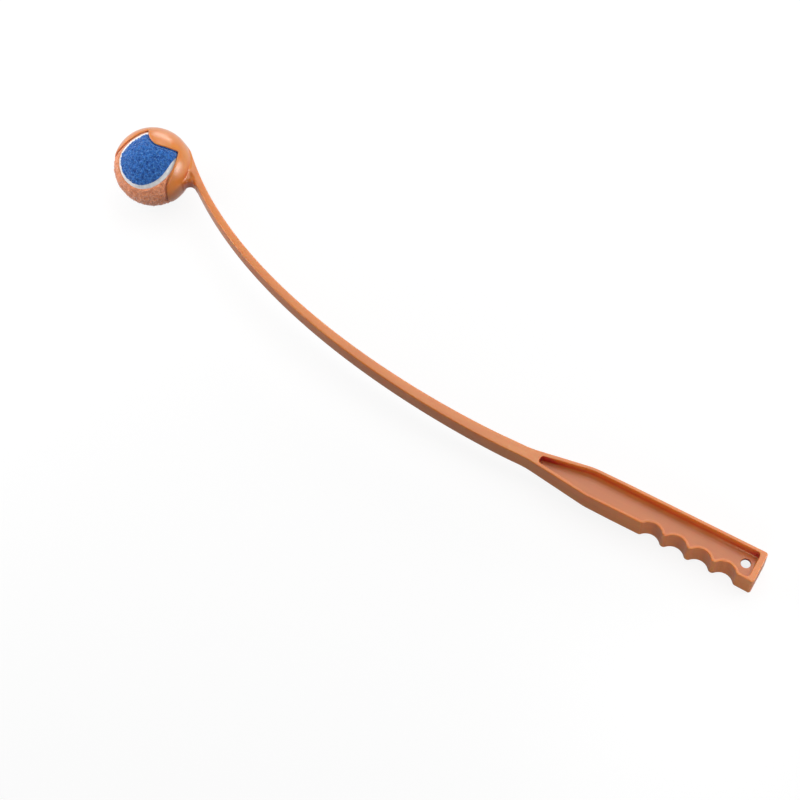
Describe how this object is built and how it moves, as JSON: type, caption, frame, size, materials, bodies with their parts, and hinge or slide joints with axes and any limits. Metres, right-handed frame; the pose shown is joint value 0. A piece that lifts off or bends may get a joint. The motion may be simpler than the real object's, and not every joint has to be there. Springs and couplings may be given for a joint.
{
  "type": "dog ball launcher",
  "caption": "Moulded orange plastic dog ball launcher: hollow-sided handle with finger grooves, long curved arm and a sprung cup gripping a blue and orange felt ball.",
  "frame": {"origin": "centre of the hang hole, half way through the handle's thickness", "axes": "+X along the straight back of the handle to its butt end, +Y out of that back, +Z along the hang hole; the cup lies at -X +Y and its mouth faces -Y"},
  "size_m": [0.6447, 0.1359, 0.0668],
  "materials": {
    "orange_plastic": "satin",
    "core_rubber": "matt",
    "blue_felt": "fuzzy",
    "orange_felt": "fuzzy",
    "seam_cement": "matt"
  },
  "bodies": {
    "launcher": {"handle": "orange_plastic", "throwing_arm": "orange_plastic", "ball_cup": "orange_plastic"},
    "ball": {"ball_core_front": "core_rubber", "ball_core_rear": "core_rubber", "felt_panel_blue": "blue_felt", "felt_panel_orange": "orange_felt", "ball_seam": "seam_cement"}
  },
  "joints": [
    {"name": "ball_release", "type": "slide", "parent": "launcher", "child": "ball", "axis": [-0.0958, -0.9954, 0], "range_m": [0, 0.08], "deforming": ["ball_cup"]}
  ]
}
